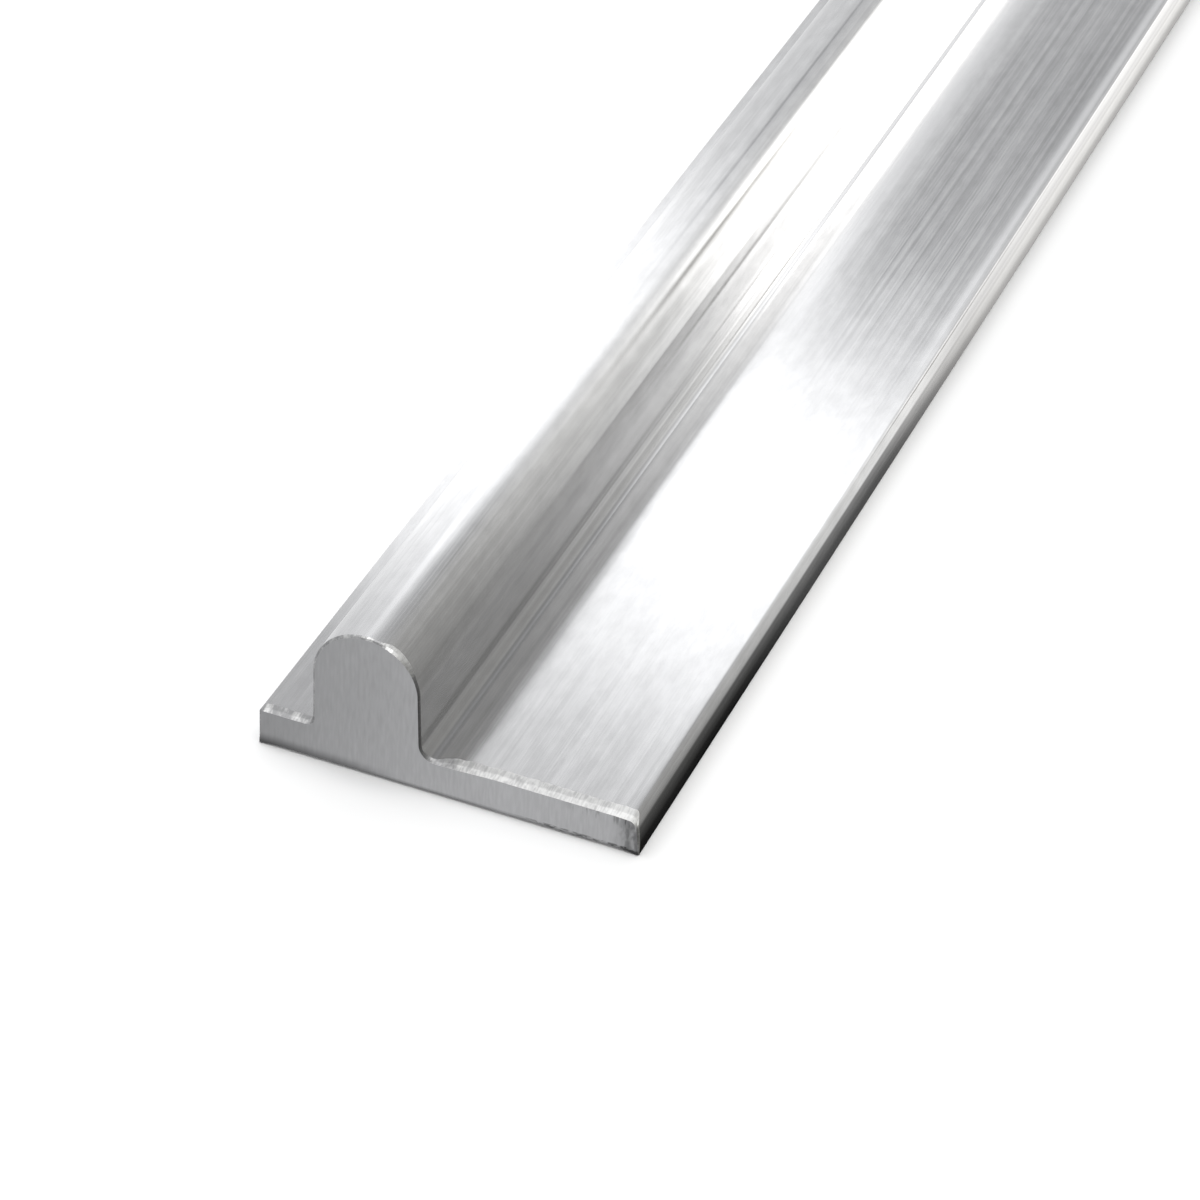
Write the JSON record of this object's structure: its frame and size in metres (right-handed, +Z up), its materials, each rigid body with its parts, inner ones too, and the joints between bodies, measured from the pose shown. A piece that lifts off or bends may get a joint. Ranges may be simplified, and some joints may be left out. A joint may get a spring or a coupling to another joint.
{
  "type": "sliding door floor track",
  "caption": "Solid aluminium floor track: flat base with an off-centre round-topped rail that a door's grooved wheels run on.",
  "frame": {"origin": "centre of the flat underside, at mid length and mid width", "axes": "+Y along the bar, +X across the base towards the wide flange, +Z up through the rail's crown"},
  "size_m": [0.032, 1, 0.0132],
  "materials": {
    "mill_aluminium": "mill finish, fine lengthwise die lines, satin to bright"
  },
  "bodies": {
    "root": {"door_track": "mill_aluminium"}
  },
  "joints": []
}
